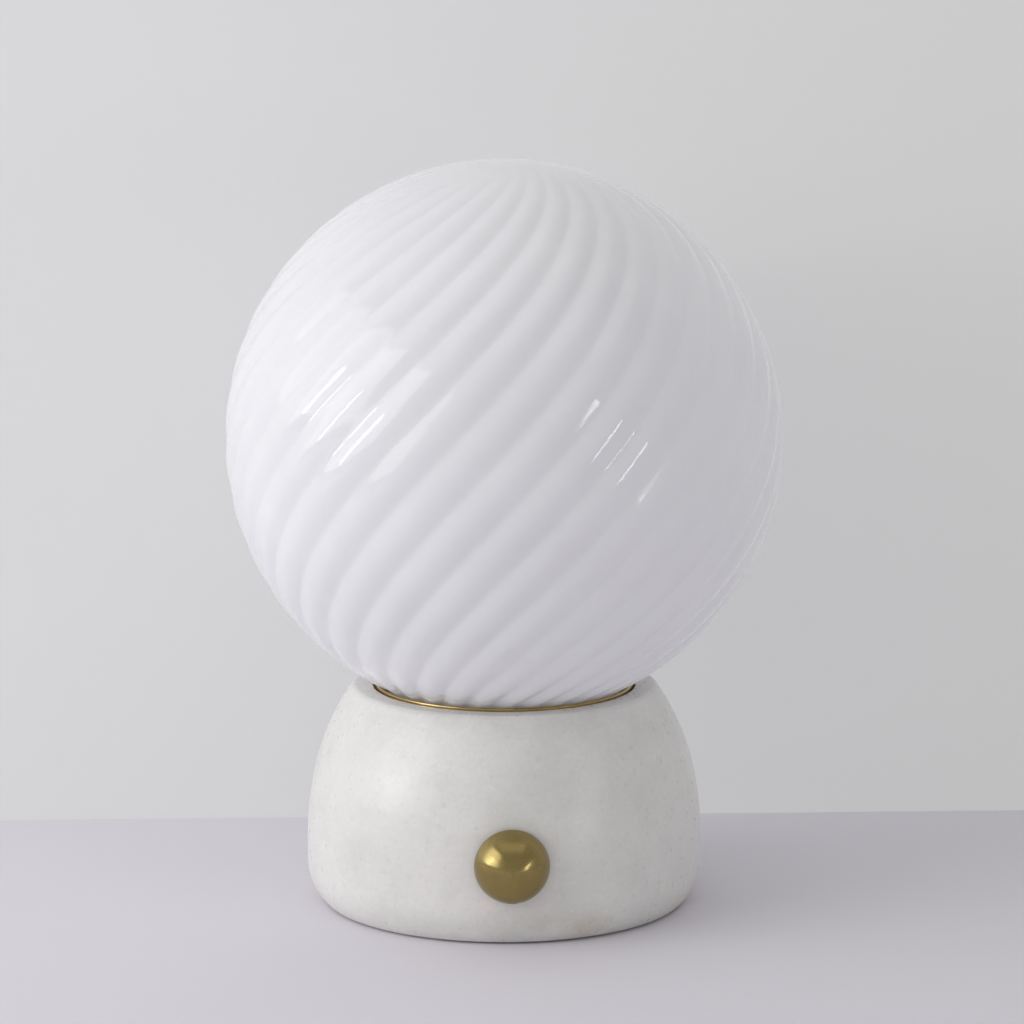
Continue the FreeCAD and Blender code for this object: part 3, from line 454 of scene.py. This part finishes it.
def ribbed_globe_tree():
    """Tree that turns a section into a shell whose outer face has spiral ribs."""
    g = GeometryTree("ribbed_globe")
    ribs = g.named("Rib Count", "NodeSocketInt")
    steps = g.named("Steps Per Rib", "NodeSocketInt")
    depth = g.named("Rib Depth", "NodeSocketFloat")
    sharpness = g.named("Rib Sharpness", "NodeSocketFloat")
    twist = g.named("Twist", "NodeSocketFloat")
    phase = g.named("Phase", "NodeSocketFloat")
    rise_start = g.named("Rise Start", "NodeSocketFloat")
    rise_end = g.named("Rise End", "NodeSocketFloat")
    outer_rows = g.named("Outer Rows", "NodeSocketInt")
    centre = g.named("Centre Height", "NodeSocketFloat")
    glass = g.named("Glass", "NodeSocketMaterial")
    section = g.inputs.outputs["Geometry"]

    size = g.node("GeometryNodeAttributeDomainSize", {"Geometry": section})
    columns = g.maths("MULTIPLY", ribs, steps)
    around = g.maths("ADD", columns, 1.0)
    grid = g.node("GeometryNodeMeshGrid", {"Size X": 1.0, "Size Y": 1.0, "Vertices Y": around,
                                           "Vertices X": size.outputs["Point Count"]})
    index = g.node("GeometryNodeInputIndex").outputs[0]
    row = g.maths("FLOOR", g.maths("DIVIDE", g.maths("ADD", index, 0.5), around))
    column = g.maths("SUBTRACT", index, g.maths("MULTIPLY", row, around))

    position = g.node("GeometryNodeInputPosition").outputs[0]
    sample = g.node("GeometryNodeSampleIndex", {"Geometry": section, "Value": position,
                                                "Index": row}, data_type="FLOAT_VECTOR")
    place = g.node("ShaderNodeSeparateXYZ", {0: sample.outputs[0]})
    radius, height = place.outputs[0], place.outputs[2]
    rise = g.maths("SUBTRACT", height, centre)
    polar = g.maths("ARCTAN2", radius, rise)

    turn = g.maths("DIVIDE", g.maths("MULTIPLY", column, 2 * math.pi), columns)
    angle = g.maths("ADD", g.maths("ADD", turn, phase), g.maths("MULTIPLY", polar, twist))
    across = g.maths("SINE", g.maths("DIVIDE", g.maths("MULTIPLY", column, math.pi), steps))
    lobe = g.maths("POWER", g.maths("ABSOLUTE", across), sharpness)
    fade = g.node("ShaderNodeMapRange", {"Value": polar, "From Min": rise_start,
                                         "From Max": rise_end},
                  interpolation_type="SMOOTHSTEP").outputs[0]
    outside = g.maths("LESS_THAN", row, outer_rows)
    sink = g.maths("MULTIPLY", g.maths("MULTIPLY", depth, g.maths("SUBTRACT", 1.0, lobe)),
                   g.maths("MULTIPLY", fade, outside))

    new_radius = g.maths("SUBTRACT", radius, g.maths("MULTIPLY", sink, g.maths("SINE", polar)))
    new_height = g.maths("SUBTRACT", height, g.maths("MULTIPLY", sink, g.maths("COSINE", polar)))
    spot = g.node("ShaderNodeCombineXYZ", {
        0: g.maths("MULTIPLY", new_radius, g.maths("COSINE", angle)),
        1: g.maths("MULTIPLY", new_radius, g.maths("SINE", angle)), 2: new_height})
    shell = g.node("GeometryNodeSetPosition", {"Geometry": grid.outputs["Mesh"],
                                               "Position": spot.outputs[0]})
    merged = g.node("GeometryNodeMergeByDistance", {"Geometry": shell.outputs[0],
                                                    "Distance": MERGE_DISTANCE})
    flipped = g.node("GeometryNodeFlipFaces", {0: merged.outputs[0]})
    smooth = g.node("GeometryNodeSetShadeSmooth", {"Geometry": flipped.outputs[0]})
    real = g.node("GeometryNodeRealizeInstances", {"Geometry": smooth.outputs[0]})
    coated = g.node("GeometryNodeSetMaterial", {"Geometry": real.outputs[0], "Material": glass})
    g.tree.links.new(coated.outputs[0], g.output.inputs[0])
    return g


def add_globe():
    """The ribbed glass globe, in place of the plain solid."""
    mesh = ribbed_globe_tree().apply("ribbed_globe", globe_section(), {
        "Rib Count": RIB_COUNT, "Steps Per Rib": RIB_STEPS, "Rib Depth": RIB_DEPTH,
        "Rib Sharpness": RIB_SHARPNESS, "Twist": RIB_TWIST, "Phase": RIB_PHASE,
        "Rise Start": RIB_RISE[0], "Rise End": RIB_RISE[1], "Outer Rows": OUTER_ROWS,
        "Centre Height": GLOBE_CENTRE, "Glass": FINISHES["opal_glass"]})
    globe = bpy.data.objects.new("ribbed_globe", mesh)
    bpy.context.scene.collection.objects.link(globe)
    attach(globe, "globe")
    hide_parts("globe_glass")


# ------------------------------------------------------- stage and lights
WALL_PLACE = 0.115                    # behind the lamp's axis
STAGE_REACH = 3.0                     # of the floor and the wall, each way
LIGHT_AIM = 0.13                      # height that every light faces
FLOOR_COLOUR = (0.78, 0.755, 0.81)
WALL_COLOUR = (0.50, 0.50, 0.50)
WALL_PAINTED_LIGHT = ((0.285, 0.285, 0.295), (0.268, 0.268, 0.268))   # painted light off the room, brighter on the left than on the right
WORLD_COLOUR = (0.45, 0.448, 0.442)
BACKDROP_COLOUR = (0.66, 0.66, 0.665)
LIGHTS = (   # name, azimuth, elevation, distance, size, glow, tilt
    ("window", -76, 22, 1.35, (1.5, 1.0), 1.9),
    ("window_strip", -72, 12, 1.6, (0.12, 0.70), 9.0, -40),   # streaks on the globe's left
    ("side_strip", 44, 2, 1.6, (0.09, 0.55), 8.0, -40),       # streaks on its right
    ("ceiling", 0, 90, 1.7, (2.4, 2.4), 0.35),
)


def floor_finish():
    """Matt pale paint."""
    m = Finish("floor_paint", FLOOR_COLOUR, 0.9)
    m.set("Specular IOR Level", 0.1)
    patches = m.span(m.noise(3.0, 3, 0.5), 0.3, 0.7)
    m.set("Base Color", m.mix(patches, FLOOR_COLOUR, tuple(0.97 * v for v in FLOOR_COLOUR)))
    return m.material


def wall_finish():
    """Matt pale paint with painted light of its own, brighter on the left; it can't be seen from
    behind.
    """
    m = Finish("wall_paint", WALL_COLOUR, 0.9)
    m.set("Specular IOR Level", 0.1)
    across = m.span(m.axis(0), -0.25, 0.35)
    # painted light: the wall glows, more on the left than on the right
    m.set("Emission Color", m.mix(across, WALL_PAINTED_LIGHT[0], WALL_PAINTED_LIGHT[1]))
    m.set("Emission Strength", 1.0)
    clear = m.node("ShaderNodeBsdfTransparent")
    swap = m.node("ShaderNodeMixShader")
    m.feed(swap.inputs[0], m.node("ShaderNodeNewGeometry").outputs["Backfacing"])
    m.feed(swap.inputs[1], m.shader.outputs[0])
    m.feed(swap.inputs[2], clear.outputs[0])
    m.feed(m.tree.nodes["Material Output"].inputs["Surface"], swap.outputs[0])
    return m.material


def add_sheet(name, corners, material):
    """Flat stage piece from its corners."""
    mesh = bpy.data.meshes.new(name)
    mesh.from_pydata(corners, [], [(0, 1, 2, 3)])
    mesh.materials.append(material)
    sheet = bpy.data.objects.new(name, mesh)
    bpy.context.scene.collection.objects.link(sheet)


def add_stage():
    """Pale floor, and a pale wall close behind the lamp."""
    r = STAGE_REACH
    add_sheet("floor", [(-r, -r, 0), (r, -r, 0), (r, r, 0), (-r, r, 0)], floor_finish())
    add_sheet("wall", [(-r, WALL_PLACE, 0), (r, WALL_PLACE, 0), (r, WALL_PLACE, r),
                       (-r, WALL_PLACE, r)], wall_finish())


def add_light(name, azimuth, elevation, distance, size, glow, tilt=0.0):
    """Rectangle of even glow that faces the lamp; angles in degrees, azimuth from -Y to +X."""
    data = bpy.data.lights.new(name, "AREA")
    data.shape = "RECTANGLE"
    data.size, data.size_y = size
    data.energy = glow * math.pi * size[0] * size[1]
    lamp = bpy.data.objects.new(name, data)
    bpy.context.scene.collection.objects.link(lamp)
    turn, rise = math.radians(azimuth), math.radians(elevation)
    way = Vector((math.sin(turn) * math.cos(rise), -math.cos(turn) * math.cos(rise),
                  math.sin(rise)))
    lamp.location = Vector((0, 0, LIGHT_AIM)) + way * distance
    facing = (-way).to_track_quat("-Z", "Y")
    lamp.rotation_euler = (facing @ Quaternion((0, 0, 1), math.radians(tilt))).to_euler()
    lamp.visible_camera = False


def add_lights():
    """Every light of the table."""
    for entry in LIGHTS:
        add_light(*entry)


def add_world():
    """Even fill light; a camera ray that misses the stage sees the wall's tone."""
    world = bpy.data.worlds.new("room")
    bpy.context.scene.world = world
    world.use_nodes = True
    tree = world.node_tree
    background = tree.nodes["Background"]
    path = tree.nodes.new("ShaderNodeLightPath")
    mix = tree.nodes.new("ShaderNodeMix")
    mix.data_type = "RGBA"
    tree.links.new(path.outputs["Is Camera Ray"], mix.inputs[0])
    mix.inputs[6].default_value = (*WORLD_COLOUR, 1)
    mix.inputs[7].default_value = (*BACKDROP_COLOUR, 1)
    tree.links.new(mix.outputs[2], background.inputs[0])


def main():
    """Dress the frame and light it."""
    scene = bpy.context.scene
    scene.view_settings.view_transform = "Standard"
    add_camera()
    dress_nodes()
    add_globe()
    add_stage()
    add_world()
    add_lights()


main()
